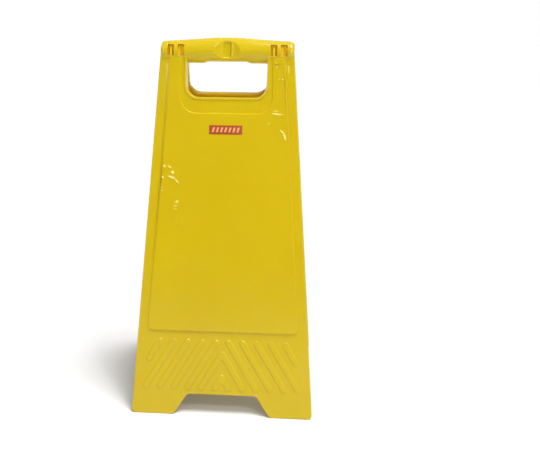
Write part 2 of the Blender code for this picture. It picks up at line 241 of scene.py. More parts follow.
# Camera, at the photograph's viewing angle (metres)
CAMERA_LENS = 53.33
CAMERA_SHIFT = 0.0833
CAMERA_AZIMUTH = math.radians(4.667)
CAMERA_DIP = math.radians(18.38)
CAMERA_DISTANCE = 1.334
CAMERA_AIM = (0, -0.0557, 0.3131)

# Studio (metres and watts)
FLOOR_HALF = 40
FLOOR_GREY = 0.72
HORIZON = 0.10
ZENITH = 0.6
KEY = 3.15
KEY_SPREAD = 22
KEY_FROM = (0.26, -0.12, 1.0)
LAMP_PLACE = (0.62, -1.06, 1.31)
LAMP_AIM = (0, 0, 0.45)
LAMP_SIZE = (0.18, 0.18)
LAMP_WATTS = 4.5
STRIP_PLACES = ((-0.77, -1.44, 0.75), (0.51, -1.54, 0.75))
STRIP_AIM = (0, 0, 0.55)
STRIP_SIZE = (0.05, 0.8)
STRIP_WATTS = 1.6

# Fineness
ARC_STEP = math.radians(11.25)
SHARP_BELOW = 0.05  # a corner with a smaller radius is one point
HANDLE_STEP = 2.5
LEDGE_FOOT_STEPS = 3
LEDGE_TOP_STEPS = 4
EDGE_STEPS = 5
OUTER_ANGLES = range(-90, 76, 7)  # degrees round the handle with a line along it
INNER_ANGLES = (-90, -84, -76, -66, 62, 68, 74)
END_WALL_REACH = 18
SCOOP_SIDES = 64
SCOOP_RINGS = (0.9, 0.94, 0.97, 0.985, 1, 1.015, 1.03, 1.06)
GROOVE_LINES = 15
GROOVE_POINTS = 30
BORE_SIDES = 32
PAST_EDGE = 0.2  # a line this far inside the opening keeps the step from panel to handle narrow
SAME_POINT = 0.004  # points closer than this become one
SLIVER = 0.02 * MM**2  # faces smaller than this borrow their neighbours' shading
SKINS_MEET = 0.01  # where the two skins are closer than this, they share their points
NOWHERE = -60.0  # a depth far behind, where a shape isn't
FLAT_BELOW = math.radians(1)  # faces that turn less than this are merged
SOFTEN_FROM = math.radians(50)  # edges of the small solids that turn more than this are rounded
SOLID_SHARP_FROM = math.radians(40)
SKIN_SHARP_FROM = math.radians(32)
TRUE_NORMAL_FROM = 0.7  # cosine between a face and the skin, below which the face keeps its own


# Flat outlines

def half_width(height):
    return FOOT_HALF + (NECK_HALF - FOOT_HALF) * np.minimum(height, STRAIGHT_FROM) / AXIS_HEIGHT


def rounded(corners, inset=0.0):
    """A closed outline through anticlockwise (x, height, radius) corners, drawn in by inset."""
    points = []
    for i, (x, height, radius) in enumerate(corners):
        here = Vector((x, height))
        arriving = (here - Vector(corners[i - 1][:2])).normalized()
        leaving = (Vector(corners[(i + 1) % len(corners)][:2]) - here).normalized()
        inward = Vector((-arriving.y, arriving.x))
        sway = inward + Vector((-leaving.y, leaving.x))
        here += sway * inset * 2 / sway.length_squared
        turn = math.atan2(arriving.x * leaving.y - arriving.y * leaving.x, arriving.dot(leaving))
        bend = math.copysign(1, turn)
        radius -= inset * bend
        if radius < SHARP_BELOW:
            points.append(here)
            continue
        start = here - arriving * radius * math.tan(abs(turn) / 2)
        centre = start + inward * radius * bend
        steps = max(2, math.ceil(abs(turn) / ARC_STEP))
        for k in range(steps + 1):
            angle = turn * k / steps
            spoke = start - centre
            turned = (
                spoke.x * math.cos(angle) - spoke.y * math.sin(angle),
                spoke.x * math.sin(angle) + spoke.y * math.cos(angle),
            )
            points.append(centre + Vector(turned))
    return np.array([tuple(point) for point in points])


def mirrored(right_half):
    """Corners listed upwards on the +X side, with their mirror image."""
    return list(right_half) + [(-x, height, radius) for x, height, radius in reversed(right_half)]


def panel_corners(sole=0.0, top=ABOVE):
    """The tapered panel with its arch, from a sole's height to a top's."""
    inner = ARCH_FOOT_HALF - (ARCH_FOOT_HALF - ARCH_TOP_HALF) * sole / ARCH_TOP
    right = [
        (ARCH_TOP_HALF, ARCH_TOP, ARCH_TOP_CORNER),
        (inner, sole, ARCH_FOOT_CORNER),
        (float(half_width(sole)), sole, FOOT_CORNER),
    ]
    if top > STRAIGHT_FROM:
        right.append((HANDLE_HALF, STRAIGHT_FROM, 0))
    right.append((float(half_width(top)), top, 0))
    return mirrored(right)


PANEL = panel_corners()
POCKET = panel_corners(sole=SOLE - WALL, top=POCKET_TOP + WALL)
PLATE = mirrored([(PLATE_BOTTOM_HALF, PLATE_BOTTOM, PLATE_CORNER), (PLATE_TOP_HALF, PLATE_END, 0)])
RECESS = mirrored([(RECESS_HALF, RECESS_BOTTOM, RECESS_CORNER), (RECESS_HALF, PLATE_END, 0)])
OPENING = mirrored([(HAND_HALF, HAND_BOTTOM, HAND_CORNER), (HAND_HALF, ABOVE, 0)])
WINDOWS = [
    [
        (centre - WINDOW_HALF, WINDOW_LOW, WINDOW_CORNER),
        (centre + WINDOW_HALF, WINDOW_LOW, WINDOW_CORNER),
        (centre + WINDOW_HALF, WINDOW_HIGH, WINDOW_CORNER),
        (centre - WINDOW_HALF, WINDOW_HIGH, WINDOW_CORNER),
    ]
    for centre, _ in KNUCKLES
]


def bar_corners(top_x, bottom, side):
    """A slanted bar: each round end is two corners with a hair less than half its width as radius."""
    radius = BAR_WIDTH / 2
    high = Vector((top_x, BAR_TOP - radius))
    fall = high.y - bottom - radius
    low = high + Vector((fall * math.tan(BAR_SLANT), -fall))
    along = (low - high).normalized() * radius
    across = Vector((-along.y, along.x))
    corners = [high - along - across, low + along - across, low + along + across, high - along + across]
    if side < 0:
        corners = [Vector((-c.x, c.y)) for c in reversed(corners)]
    return [(c.x, c.y, radius - HAIR) for c in corners]


def chevron_corners(top):
    """A chevron with slanted legs as wide as the bars, and its rounded peak at a given height."""
    slope = math.tan(BAR_SLANT)
    peak = top + CHEVRON_BLUNT * (1 / math.sin(BAR_SLANT) - 1)
    notch = peak - BAR_WIDTH / math.sin(BAR_SLANT)
    outer = (peak - BAR_BOTTOM) * slope
    inner = (notch - BAR_BOTTOM) * slope
    right = [(inner, BAR_BOTTOM, CHEVRON_END), (outer, BAR_BOTTOM, CHEVRON_END)]
    left = [(-x, height, radius) for x, height, radius in reversed(right)]
    return [(0, notch, CHEVRON_NOTCH), *right, (0, peak, CHEVRON_BLUNT), *left]


def bar_outlines():
    bars = []
    for i in range(BARS_A_SIDE):
        bottom = BAR_SHORT_BOTTOM if i == BARS_A_SIDE - 1 else BAR_BOTTOM
        bars += [bar_corners(BAR_FIRST + BAR_PITCH * i, bottom, side) for side in (1, -1)]
    return bars + [chevron_corners(top) for top in CHEVRON_TOPS]


BARS = bar_outlines()


# Distances and cross-sections

def inside(points, corners):
    """How far each point lies inside an outline; negative outside it."""
    start = rounded(corners)
    edge = np.roll(start, -1, axis=0) - start
    away = points[:, None] - start
    share = np.clip((away * edge).sum(-1) / (edge**2).sum(-1), 0, 1)
    distance = np.sqrt(((away - share[..., None] * edge) ** 2).sum(-1)).min(1)
    height = points[:, 1, None]
    crosses = (start[:, 1] <= height) != (start[:, 1] + edge[:, 1] <= height)
    flat = np.where(edge[:, 1] == 0, 1, edge[:, 1])
    beyond = points[:, 0, None] < start[:, 0] + (height - start[:, 1]) * edge[:, 0] / flat
    within = (crosses & beyond).sum(1) % 2 == 1
    return np.where(within, distance, -distance)


def ledge_runs(name):
    """How far a ledge's hollow foot, drafted wall and round top run across it."""
    rise, foot, top, steep = LEDGES[name]
    wall_run = (rise - (foot + top) * (1 - math.cos(steep))) / math.tan(steep)
    return foot * math.sin(steep), wall_run, top * math.sin(steep)


def ledge(distance, name):
    """The height gained across a moulded ledge, at a distance inwards from its middle."""
    rise, foot, top, steep = LEDGES[name]
    foot_run, wall_run, top_run = ledge_runs(name)
    along = distance + (foot_run + wall_run + top_run) / 2
    low = np.clip(along, 0, foot_run)
    middle = np.clip(along - foot_run, 0, wall_run)
    high = np.clip(foot_run + wall_run + top_run - along, 0, top_run)
    return (
        foot - np.sqrt(foot**2 - low**2)
        + middle * math.tan(steep)
        + np.sqrt(top**2 - high**2) - top * math.cos(steep)
    )


def ledge_lines(name):
    """Distances across a ledge where the mesh needs a line."""
    rise, foot, top, steep = LEDGES[name]
    half = sum(ledge_runs(name)) / 2
    low = [foot * math.sin(steep * k / LEDGE_FOOT_STEPS) - half for k in range(LEDGE_FOOT_STEPS + 1)]
    high = [half - top * math.sin(steep * k / LEDGE_TOP_STEPS) for k in range(LEDGE_TOP_STEPS + 1)]
    return low + high


def edge_drop(distance, radius):
    """How far a rounded edge lies below the face it ends."""
    short = radius - np.clip(distance, 0, radius)
    return radius - np.sqrt(radius**2 - short**2)


def edge_lines(radius):
    return [radius * (1 - math.cos(math.pi / 2 * k / EDGE_STEPS)) for k in range(EDGE_STEPS + 1)]


def larger(a, b, blend):
    """The larger of two surfaces, with a fillet where they cross."""
    share = np.clip(0.5 + 0.5 * (a - b) / blend, 0, 1)
    return a * share + b * (1 - share) + blend * share * (1 - share)


def smaller(a, b, blend):
    return -larger(-a, -b, blend)


# Handle

def along_handle(x, values):
    """A value that changes along the handle, with its changes of slope softened."""
    shifted = (np.interp(np.abs(x + shift), HANDLE_ALONG, values) for shift in HANDLE_SOFTENING)
    return sum(shifted) / len(HANDLE_SOFTENING)


def end_loss(x):
    """How much the handle's rounded ends take off its rise."""
    over = np.clip(np.abs(x) - (HANDLE_HALF - HANDLE_END_ROUND), 0, HANDLE_END_ROUND)
    return HANDLE_END_ROUND - np.sqrt(HANDLE_END_ROUND**2 - over**2)


def corner_gain(x):
    """The handle's underside swells into the opening's sides."""
    inner = np.clip(HANDLE_CORNER - (HAND_HALF - np.abs(x)), 0, HANDLE_CORNER)
    swell = HANDLE_CORNER - np.sqrt(HANDLE_CORNER**2 - inner**2)
    fade = np.clip(1 - (np.abs(x) - HAND_HALF) / BEAD, 0, 1)
    return np.where(np.abs(x) > HAND_HALF, HANDLE_CORNER * fade**2, swell)


def handle_rise(x):
    return along_handle(x, HANDLE_RISE) - end_loss(x)


def handle_drop(x):
    return along_handle(x, HANDLE_DROP) + corner_gain(x)


def handle_depth(x):
    return HANDLE_DEPTH - HANDLE_END_SHALLOWER * end_loss(x)


def handle_surface(x, above, shrink):
    """Depth of the handle's outer surface, or of one a given distance inside it."""
    depth = handle_depth(x) - shrink
    reach = np.where(above > 0, handle_rise(x), handle_drop(x)) - shrink
    ratio = np.clip(np.abs(above) / reach, 0, 1)
    return np.where(ratio < 1 - 1e-9, depth * np.sqrt(1 - ratio**2), NOWHERE)


def handle_top(x):
    """Height above the hinge line where the two handle halves meet."""
    rise = handle_rise(x)
    return rise * np.sin(np.arctan2(handle_depth(x), rise * math.tan(LEAN) + FOLD_GAP / 2))


def scoop_depth(x, radius=SCOOP_RADIUS):
    return SCOOP_CENTRE - np.sqrt(np.maximum(radius**2 - x**2, 0))


def smooth_step(value):
    value = np.clip(value, 0, 1)
    return value * value * (3 - 2 * value)


def scoop_end(x):
    """Share of the handle's rise or drop at which the scoop reaches the handle's surface."""
    return np.sqrt(1 - np.clip(scoop_depth(x) / HANDLE_DEPTH, 0, 1) ** 2)


def groove_drop(x, above):
    """How far the groove lies below the scoop's floor."""
    reach = np.where(above > 0, handle_rise(x), handle_drop(x)) * scoop_end(x)
    across = smooth_step((GROOVE_FLOOR_HALF + GROOVE_WALL - np.abs(x)) / GROOVE_WALL)
    rib = RIB_RISE * np.exp(-(((np.abs(x) - RIB_AT) / RIB_HALF) ** 2))
    return (GROOVE_DEEP * across - rib) * smooth_step((reach - np.abs(above)) / GROOVE_END)


# Skins

def crease_frame(x, height, tilt):
    """A crease's middle, and its directions along and across."""
    along = np.array([math.cos(math.radians(tilt)), math.sin(math.radians(tilt))])
    return np.array([x, height]), along, np.array([-along[1], along[0]])


def crease_shares(points, x, height, length, width, tilt):
    """Where points lie along and across a crease, in shares of its half length and half width."""
    middle, along, across = crease_frame(x, height, tilt)
    return (points - middle) @ along / length, (points - middle) @ across / width


def creased(points):
    """How far the creases stand off the face."""
    total = np.zeros(len(points))
    for *crease, rise in CREASES:
        u, v = crease_shares(points, *crease)
        off = u**2 + v**2
        total = total + rise * np.exp(-off) * smooth_step(CREASE_REACH**2 - off)
    return total


def painted_crease_glint(points):
    """How strong the painted highlight is on each crease: most along its upper side, where light catches
    it.
    """
    total = np.zeros(len(points))
    for *crease, rise in CREASES:
        u, v = crease_shares(points, *crease)
        off = u**2 + (v - GLINT_SHIFT) ** 2
        total = np.maximum(total, smooth_step(GLINT_LEVEL - GLINT_FALL * off) * min(1, rise))
    return total


def painted_glow_share(points):
    """How much painted glow each point gets: a lighter colour on the walls of the windows and the hand
    opening, standing in for light soaking through them.
    """
    opening = HAND_GLOW * np.clip((2 * BEAD + inside(points, OPENING)) / BEAD, 0, 1)
    windows = [np.clip(GLOW_REACH + inside(points, window), 0, 1) for window in WINDOWS]
    return np.maximum.reduce([opening, *windows])


def crease_points():
    """A fine grid of points over each crease, for the triangulation."""
    points = []
    for x, height, length, width, tilt, _ in CREASES:
        middle, along, across = crease_frame(x, height, tilt)
        for u in np.arange(-CREASE_REACH * length, CREASE_REACH * length, CREASE_STEP):
            for v in np.arange(-CREASE_REACH * width, CREASE_REACH * width, CREASE_STEP):
                points.append(tuple(middle + along * u + across * v))
    return points


def front_depth(points):
    """Depth of the front skin: the panel with its ledges, the handle, and rounded edges."""
    x, height = points.T
    above = height - AXIS_HEIGHT
    from_edge = inside(points, PANEL)
    outside_hand = -inside(points, OPENING)
    body = BORDER_DEPTH + ledge(inside(points, PLATE), "plate")
    body = body - ledge(inside(points, RECESS), "recess")
    for bar in BARS:
        body = body + ledge(inside(points, bar), "bar")
    body = body + ledge(BEAD - outside_hand, "bead") - edge_drop(outside_hand, BEAD_ROUND)
    body = body + creased(points)
    body = body - np.maximum(height - BODY_SINKS, 0)
    body = np.where((outside_hand < -1e-6) | (height > BODY_TOP), NOWHERE, body)
    handle = handle_surface(x, above, 0)
    scooped = smaller(handle, scoop_depth(x) - groove_drop(x, above), SCOOP_BLEND)
    handle = np.where(handle < 0, NOWHERE, scooped)
    both = np.where(handle < 0, body, larger(body, handle, HANDLE_BLEND))
    both = np.where(body < 0, handle, both)
    both = both - edge_drop(from_edge, EDGE_ROUND)
    for window in WINDOWS:
        both = both - edge_drop(-inside(points, window), WINDOW_ROUND)
    least = np.where(above > 0, above * math.tan(LEAN) + FOLD_GAP / 2, RIM_DEPTH)
    return np.maximum(both, least)


def back_depth(points):
    """Depth of the back skin: the rim, the hollow panel and the hollow handle."""
    x, height = points.T
    above = height - AXIS_HEIGHT
    outside_hand = -inside(points, OPENING)
    in_pocket = np.minimum(inside(points, POCKET) - WALL, outside_hand - BEAD)
    floor = RIM_DEPTH + ledge(in_pocket, "pocket")
    raised = ledge(inside(points, PLATE) - WALL, "plate_back") - ledge(inside(points, RECESS), "recess")
    floor = floor + raised * np.clip(in_pocket / POCKET_FADE, 0, 1)
    hollow = handle_surface(x, above, HANDLE_WALL)
    hollow = np.minimum(hollow, ledge(HANDLE_HALF - HANDLE_WALL - np.abs(x), "end_wall"))
    hollow = np.minimum(hollow, scoop_depth(x, SCOOP_RADIUS + SCOOP_BACKING))
    plane = np.where(above > 0, above * math.tan(LEAN) + FOLD_GAP / 2, RIM_DEPTH)
    plane = np.maximum(plane, RIM_DEPTH)
    return np.maximum(np.maximum(floor, hollow), plane)


# Lines of the triangulation

def level_lines(shrink, angles):
    """Lines along the handle at fixed angles round it."""
    along = np.arange(-HANDLE_HALF + shrink, HANDLE_HALF - shrink + HAIR, HANDLE_STEP)
    along = np.append(along, HANDLE_HALF - shrink)
    lines = []
    for angle in np.radians(angles):
        reach = handle_rise(along) if angle > 0 else handle_drop(along)
        lines.append(np.stack([along, AXIS_HEIGHT + (reach - shrink) * math.sin(angle)], axis=1))
    return lines


def top_line():
    """The line along the handle's top, where the skins end."""
    ends = HANDLE_HALF - HANDLE_END_ROUND + HANDLE_END_ROUND * np.sin(np.radians(np.arange(0, 91, 10)))
    right = np.concatenate([np.arange(0, HANDLE_HALF - HANDLE_END_ROUND, HANDLE_STEP), ends])
    along = np.concatenate([-right[:0:-1], right])
    return np.stack([along, AXIS_HEIGHT + handle_top(along)], axis=1)


def scoop_lines():
    """Ovals round the scoop's edge, and upright lines down its groove."""
    half = math.sqrt(SCOOP_RADIUS**2 - (SCOOP_CENTRE - HANDLE_DEPTH) ** 2)
    round_it = np.linspace(0, math.tau, SCOOP_SIDES + 1)[:-1]
    x = half * np.cos(round_it)
    reach = np.where(np.sin(round_it) > 0, handle_rise(x), handle_drop(x))
    height = np.sign(np.sin(round_it)) * reach * scoop_end(x)
    lines = []
    for scale in SCOOP_RINGS:
        lines.append((np.stack([x * scale, AXIS_HEIGHT + height * scale], axis=1), True))
    for offset in np.linspace(0, GROOVE_WALL + RIB_REACH, GROOVE_LINES):
        for side in (-1, 1):
            across = side * (GROOVE_FLOOR_HALF + offset)
            top = float(handle_rise(across) * scoop_end(across))
            low = -float(handle_drop(across) * scoop_end(across))
            steps = AXIS_HEIGHT + np.linspace(low, top, GROOVE_POINTS)
            lines.append((np.stack([np.full(GROOVE_POINTS, across), steps], axis=1), False))
    return lines


def open_topped(corners, inset):
    """The line round an outline whose top is hidden in the handle, without that top."""
    line = rounded(corners, inset)
    line[:, 1] = np.minimum(line[:, 1], LINES_END)
    last = np.flatnonzero((line[:, 1] == line[:, 1].max()) & (line[:, 0] > 0))[-1]
    return np.roll(line, -1 - int(last), axis=0)


def panel_lines():
    """Every line of the panel's triangulation, as (points, whether it closes)."""
    lines = [(rounded(PANEL, inset), True) for inset in edge_lines(EDGE_ROUND)]
    lines += [(open_topped(PLATE, inset), False) for inset in ledge_lines("plate")]
    lines += [(open_topped(RECESS, inset), False) for inset in ledge_lines("recess")]
    lines += [(open_topped(OPENING, inset - BEAD), False) for inset in ledge_lines("bead")]
    lines += [(open_topped(OPENING, -inset), False) for inset in edge_lines(BEAD_ROUND)]
    lines += [(open_topped(OPENING, PAST_EDGE), False)]
    for bar in BARS:
        lines += [(rounded(bar, inset), True) for inset in ledge_lines("bar")]
    lines += [(rounded(POCKET, WALL + inset), True) for inset in ledge_lines("pocket")]
    lines += [(open_topped(OPENING, -BEAD - inset), False) for inset in ledge_lines("pocket")]
    lines += [(open_topped(PLATE, WALL + inset), False) for inset in ledge_lines("plate_back")]
    for window in WINDOWS:
        lines += [(rounded(window, -inset), True) for inset in edge_lines(WINDOW_ROUND)]
    lines += [(line, False) for line in level_lines(0, OUTER_ANGLES)]
    lines += [(line, False) for line in level_lines(HANDLE_WALL, INNER_ANGLES)]
    for gap in ledge_lines("end_wall"):
        for side in (-1, 1):
            across = side * (HANDLE_HALF - HANDLE_WALL - gap)
            low, high = AXIS_HEIGHT - END_WALL_REACH, AXIS_HEIGHT + END_WALL_REACH
            lines.append((np.array([(across, low), (across, high)]), False))
    lines.append((top_line(), False))
    return lines + scoop_lines()


def drafted(points):
    """The back skin's points, drawn into the hand opening by the moulding's draft."""
    nudge = 0.01
    away = -inside(points, OPENING)
    slopes = []
    for step in ((nudge, 0), (0, nudge)):
        slopes.append((-inside(points + step, OPENING) - away) / nudge)
    under_handle = AXIS_HEIGHT - handle_drop(points[:, 0]) - points[:, 1]
    share = np.clip(1 - away / BEAD, 0, 1) * np.clip(under_handle / DRAFT_FADE, 0, 1)
    return points - np.stack(slopes, axis=1) * (HAND_DRAFT * share)[:, None]


def in_panel(points):
    """Whether the moulding covers each point."""
    kept = inside(points, PANEL) > 0
    above = points[:, 1] - AXIS_HEIGHT
    kept &= above < handle_top(points[:, 0])
    kept &= (inside(points, OPENING) < 0) | (above > -handle_drop(points[:, 0]))
    for window in WINDOWS:
        kept &= inside(points, window) < 0
    return kept


def triangulate(lines, keep, loose=()):
    """Points and triangles of a flat area: lines become edges, and keep picks the triangles."""
    points = list(loose)
    edges = []
    for line, closed in lines:
        first = len(points)
        points += [tuple(point) for point in line]
        edges += [(first + i, first + i + 1) for i in range(len(line) - 1)]
        if closed:
            edges.append((first + len(line) - 1, first))
    found = geometry.delaunay_2d_cdt([Vector(point) for point in points], edges, [], 0, SAME_POINT)
    flat = np.array([tuple(point) for point in found[0]])
    triangles = np.array([tuple(face) for face in found[2]])
    corners = flat[triangles]
    spans = corners[:, 1:] - corners[:, :1]
    area = spans[:, 0, 0] * spans[:, 1, 1] - spans[:, 0, 1] * spans[:, 1, 0]
    triangles = np.where((area > 0)[:, None], triangles, triangles[:, ::-1])
    triangles = triangles[keep(corners.mean(1))]
    used = np.unique(triangles)
    index = np.full(len(flat), -1)
    index[used] = np.arange(len(used))
    return flat[used], index[triangles]


def close_up(triangles, front, back):
    """Faces of a closed shell over flat triangles: front, back, and walls along the open edges."""
    ends = np.concatenate([triangles[:, [0, 1]], triangles[:, [1, 2]], triangles[:, [2, 0]]])
    known = set(map(tuple, ends))
    faces = [tuple(front[list(face)]) for face in triangles]
    faces += [tuple(back[list(face[::-1])]) for face in triangles]
    for a, b in known:
        if (b, a) not in known:
            wall = [front[b], front[a], back[a], back[b]]
            wall = [v for i, v in enumerate(wall) if v != wall[i - 1]]
            if len(wall) > 2:
                faces.append(tuple(wall))
    return faces


def set_values(mesh, name, values):
    """A number at each of the mesh's points, for its material."""
    attribute = mesh.attributes.new(name, "FLOAT", "POINT")
    attribute.data.foreach_set("value", values.astype(np.float32))


def scuffs(flat):
    """How scuffed the front skin is: most along its edges and the handle's top."""
    off_top = flat[:, 1] - AXIS_HEIGHT - handle_top(flat[:, 0])
    strength, reach = EDGE_WEAR
    wear = strength * np.exp(-np.abs(inside(flat, PANEL)) / reach)
    strength, reach = PLATE_WEAR
    wear = wear + strength * np.exp(-np.abs(inside(flat, PLATE) - reach) / reach)
    strength, reach = TOP_WEAR
    return wear + strength * np.exp(-np.abs(off_top) / reach)


def moulding_mesh():
    flat, triangles = triangulate(panel_lines(), in_panel, crease_points())
    front = front_depth(flat)
    back = np.minimum(back_depth(flat), front)
    count = len(flat)
    behind = np.where(front - back < SKINS_MEET, np.arange(count), np.arange(count) + count)
    faces = close_up(triangles, np.arange(count), behind)
    depth = np.concatenate([front, back])
    x, height = np.concatenate([flat, drafted(flat)]).T
    height = np.maximum(height, (BORDER_DEPTH - depth) * math.tan(LEAN))
    where = np.stack([x, -depth, height - AXIS_HEIGHT], axis=1) * MM
    mesh = bpy.data.meshes.new("moulding")
    mesh.from_pydata([tuple(point) for point in where], [], faces)
    wear = scuffs(flat)
    set_values(mesh, "wear", np.concatenate([wear, BACK_WEAR * wear]))
    # the back skin carries the painted glow round the windows and the hand opening
    set_values(mesh, "painted_glow", np.concatenate([np.zeros(count), painted_glow_share(drafted(flat))]))
    # the front skin carries the painted highlights along the creases
    set_values(mesh, "painted_glint", np.concatenate([painted_crease_glint(flat), np.zeros(count)]))
    smooth_front(mesh, flat, len(triangles))
    return mesh


def smooth_front(mesh, flat, front_faces):
    """True normals on the front skin, so its flats stay flat beside its rounded ledges."""
    mesh.shade_smooth()
    mesh.set_sharp_from_angle(angle=SKIN_SHARP_FROM)
    nudge = 0.004
    slopes = []
    for step in ((nudge, 0), (0, nudge)):
        slopes.append((front_depth(flat + step) - front_depth(flat - np.array(step))) / (2 * nudge))
    true = np.stack([-slopes[0], -np.ones(len(flat)), -slopes[1]], axis=1)
    true /= np.linalg.norm(true, axis=1)[:, None]
    normals = np.zeros((len(mesh.loops), 3))
    for face in mesh.polygons[:front_faces]:
        for loop in face.loop_indices:
            vertex = mesh.loops[loop].vertex_index
            steep = true[vertex] @ face.normal < TRUE_NORMAL_FROM and face.area > SLIVER
            normals[loop] = face.normal if steep else true[vertex]
    mesh.normals_split_custom_set([tuple(normal) for normal in normals])


# Hinge knuckles

def circle(radius):
    turns = (math.tau * i / BORE_SIDES for i in range(BORE_SIDES))
    return np.array([(radius * math.cos(turn), radius * math.sin(turn)) for turn in turns])


def softened(vertices, faces, radius):
    """A closed solid with its sharp edges rounded."""
    mesh = bpy.data.meshes.new("solid")
    mesh.from_pydata([tuple(vertex) for vertex in vertices], [], faces)
    bm = bmesh.new()
    bm.from_mesh(mesh)
    bmesh.ops.dissolve_limit(bm, angle_limit=FLAT_BELOW, verts=bm.verts, edges=bm.edges)
    sharp = [edge for edge in bm.edges if edge.calc_face_angle(0) > SOFTEN_FROM]
    bmesh.ops.bevel(bm, geom=sharp, offset=radius * MM, segments=2, profile=0.5, affect="EDGES")
    bm.to_mesh(mesh)
    bm.free()
    mesh.shade_smooth()
    mesh.set_sharp_from_angle(angle=SOLID_SHARP_FROM)
    return mesh


def side_solid(profile, low, high):
    """A side-view profile, extruded along the hinge and bored for its pin."""
    def keep(points):
        return (inside(points, profile) > 0) & (np.hypot(*points.T) > BORE)

    flat, triangles = triangulate([(rounded(profile), True), (circle(BORE), True)], keep)
    count = len(flat)
    faces = close_up(triangles, np.arange(count), np.arange(count) + count)
    across = np.concatenate([np.full(count, high), np.full(count, low)])
    depth, rise = np.concatenate([flat, flat]).T
    mesh = softened(np.stack([across, -depth, rise], axis=1) * MM, faces, KNUCKLE_SOFTEN)
    # the knuckles and backings get the full painted glow, as painted light in the windows' shade
    set_values(mesh, "painted_glow", np.ones(len(mesh.vertices)))
    return mesh


def knuckle_meshes():
    """The walls behind the windows, and the tongues and forks that the pins join."""
    meshes = []
    for centre, has_tongue in KNUCKLES:
        meshes.append(side_solid(BACKING, centre - BACKING_HALF, centre + BACKING_HALF))
        for low, high in (TONGUE,) if has_tongue else PRONGS:
            meshes.append(side_solid(WEB, centre + low, centre + high))
    return meshes


def joined(meshes):
    """One mesh from several, keeping the first one's shading."""
    objects = [bpy.data.objects.new("part", mesh) for mesh in meshes]
    for obj in objects:
        bpy.context.scene.collection.objects.link(obj)
    with bpy.context.temp_override(active_object=objects[0], selected_editable_objects=objects):
        bpy.ops.object.join()
    mesh = objects[0].data
    bpy.data.objects.remove(objects[0])
    return mesh


# Label

def slab_mesh(outlines, back, front, soften):
    """Flat shapes on the panel's face, between two depths."""
    vertices = []
    faces = []
    for outline in outlines:
        line = rounded(outline)
        first = len(vertices)
        count = len(line)
        vertices += [(x, -depth, height - AXIS_HEIGHT) for depth in (back, front) for x, height in line]
        faces.append([first + i for i in reversed(range(count))])
        faces.append([first + count + i for i in range(count)])
        for i in range(count):
            after = (i + 1) % count
            faces.append([first + i, first + after, first + count + after, first + count + i])
    return softened(np.array(vertices) * MM, faces, soften)


def label_mesh():
    corners = mirrored([(LABEL_HALF, LABEL_LOW, LABEL_CORNER), (LABEL_HALF, LABEL_HIGH, LABEL_CORNER)])
    back = BORDER_DEPTH + PLATE_RAISE
    return slab_mesh([corners], back, back + LABEL_THICK, LABEL_SOFTEN)


def print_mesh():
    """A row of slanted dashes printed on the label."""
    half = DASH_WIDTH / 2
    bottom = LABEL_LOW + DASH_MARGIN
    top = LABEL_HIGH - DASH_MARGIN
    dashes = []
    for i in range(DASHES):
        middle = DASH_PITCH * (i - (DASHES - 1) / 2)
        low = middle - DASH_LEAN / 2
        high = middle + DASH_LEAN / 2
        corners = ((low - half, bottom), (low + half, bottom), (high + half, top), (high - half, top))
        dashes.append([(*corner, DASH_CORNER) for corner in corners])
    back = BORDER_DEPTH + PLATE_RAISE + LABEL_THICK
    return slab_mesh(dashes, back - INK_SUNK, back + INK_THICK, INK_SOFTEN)


# Materials

DEEP_YELLOW = (0.572, 0.418, 0.001, 1)
PALE_YELLOW = (0.600, 0.449, 0.002, 1)
# painted glow colour, for shaded inner walls
PAINTED_GLOW_YELLOW = (0.86, 0.52, 0.006, 1)
SCUFFED_YELLOW = (0.76, 0.60, 0.08, 1)
# painted highlight colour, for the creases' upper sides
PAINTED_GLINT_YELLOW = (0.90, 0.77, 0.19, 1)
DEEP_RED = (0.35, 0.042, 0.002, 1)
PALE_RED = (0.39, 0.052, 0.003, 1)
DEEP_INK = (0.72, 0.30, 0.10, 1)
PALE_INK = (0.80, 0.38, 0.15, 1)
DARK_STEEL = (0.46, 0.46, 0.47, 1)
BRIGHT_STEEL = (0.62, 0.62, 0.63, 1)
SCUFF_ROUGHNESS = 0.25  # what a full scuff adds to the plastic's roughness
SINK_DEPTH = 0.0006  # bump heights, in metres
GRAIN_DEPTH = 0.00001
VINYL_RIPPLE = 0.00005


def new_material(name):
    made = bpy.data.materials.new(name)
    made.use_nodes = True
    return made, made.node_tree, made.node_tree.nodes["Principled BSDF"]


def node(tree, kind, inputs=None, **settings):
    """A node with its settings, and its inputs set or linked by name or number."""
    made = tree.nodes.new(kind)
    for name, value in settings.items():
        setattr(made, name, value)
    for name, value in (inputs or {}).items():
        if isinstance(value, bpy.types.NodeSocket):
            tree.links.new(value, made.inputs[name])
        else:
            made.inputs[name].default_value = value
    return made


def noise(tree, where, scale, detail=2.0, rough=0.5):
    inputs = {"Vector": where, "Scale": scale, "Detail": detail, "Roughness": rough}
    return node(tree, "ShaderNodeTexNoise", inputs).outputs["Fac"]


def spread(tree, value, low, high, start=0.3, end=0.7):
    """A value stretched to another span, from a noise's usual one unless told otherwise."""
    inputs = {"Value": value, "From Min": start, "From Max": end, "To Min": low, "To Max": high}
    return node(tree, "ShaderNodeMapRange", inputs).outputs["Result"]


def mixed(tree, share, first, second):
    made = node(tree, "ShaderNodeMix", data_type="RGBA")
    for name, value in (("Factor", share), ("A", first), ("B", second)):
        socket = next(s for s in made.inputs if s.name == name and s.enabled)
        if isinstance(value, bpy.types.NodeSocket):
            tree.links.new(value, socket)
        else:
            socket.default_value = value
    return next(s for s in made.outputs if s.enabled)


